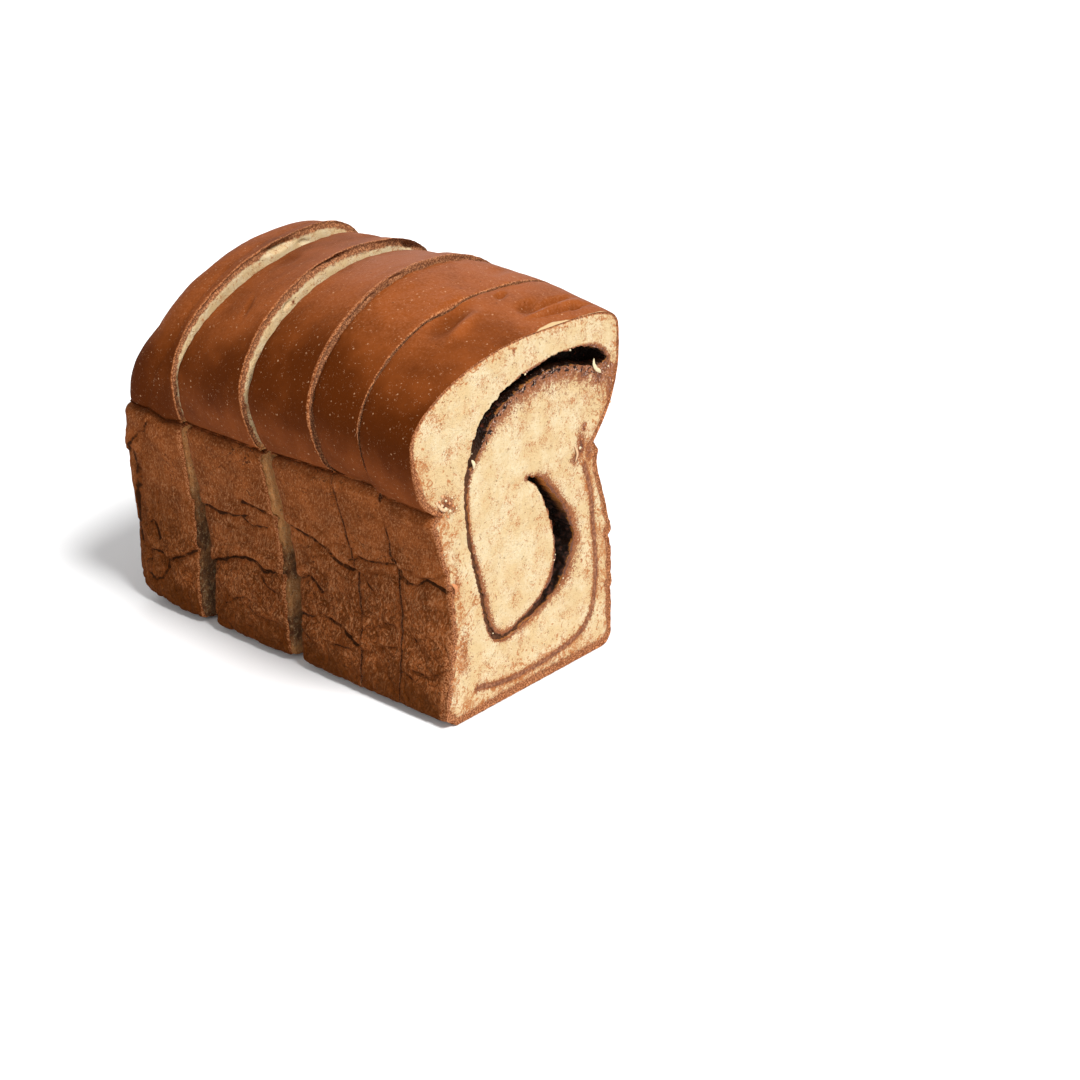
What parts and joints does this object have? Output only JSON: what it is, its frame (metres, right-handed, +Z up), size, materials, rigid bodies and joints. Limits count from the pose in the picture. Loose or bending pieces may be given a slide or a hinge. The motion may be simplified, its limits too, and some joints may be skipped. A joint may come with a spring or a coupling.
{
  "type": "sliced chocolate swirl shokupan loaf",
  "caption": "Tall domed milk bread loaf with chocolate crust, cut into thick standing slices with a chocolate swirl through the pale crumb.",
  "frame": {"origin": "on the table under the middle of the loaf", "axes": "+X along the loaf and out of its cut front face, +Z up, -Y out of the long wall seen in the picture"},
  "size_m": [0.2083, 0.128, 0.1685],
  "materials": {
    "bread": "satin brown crust, matt pale crumb on the cut faces",
    "chocolate_filling": "glossy dark chocolate",
    "chocolate_dough": "matt brown dough"
  },
  "bodies": {
    "root": {"slice_1": "bread", "slice_2": "bread", "slice_3": "bread", "slice_4": "bread", "slice_5": "bread", "swirl_1": "chocolate_filling", "swirl_2": "chocolate_filling", "swirl_3": "chocolate_filling", "swirl_4": "chocolate_filling", "swirl_5": "chocolate_filling", "layer_1": "chocolate_dough", "layer_2": "chocolate_dough", "layer_3": "chocolate_dough", "layer_4": "chocolate_dough", "layer_5": "chocolate_dough"}
  },
  "joints": []
}
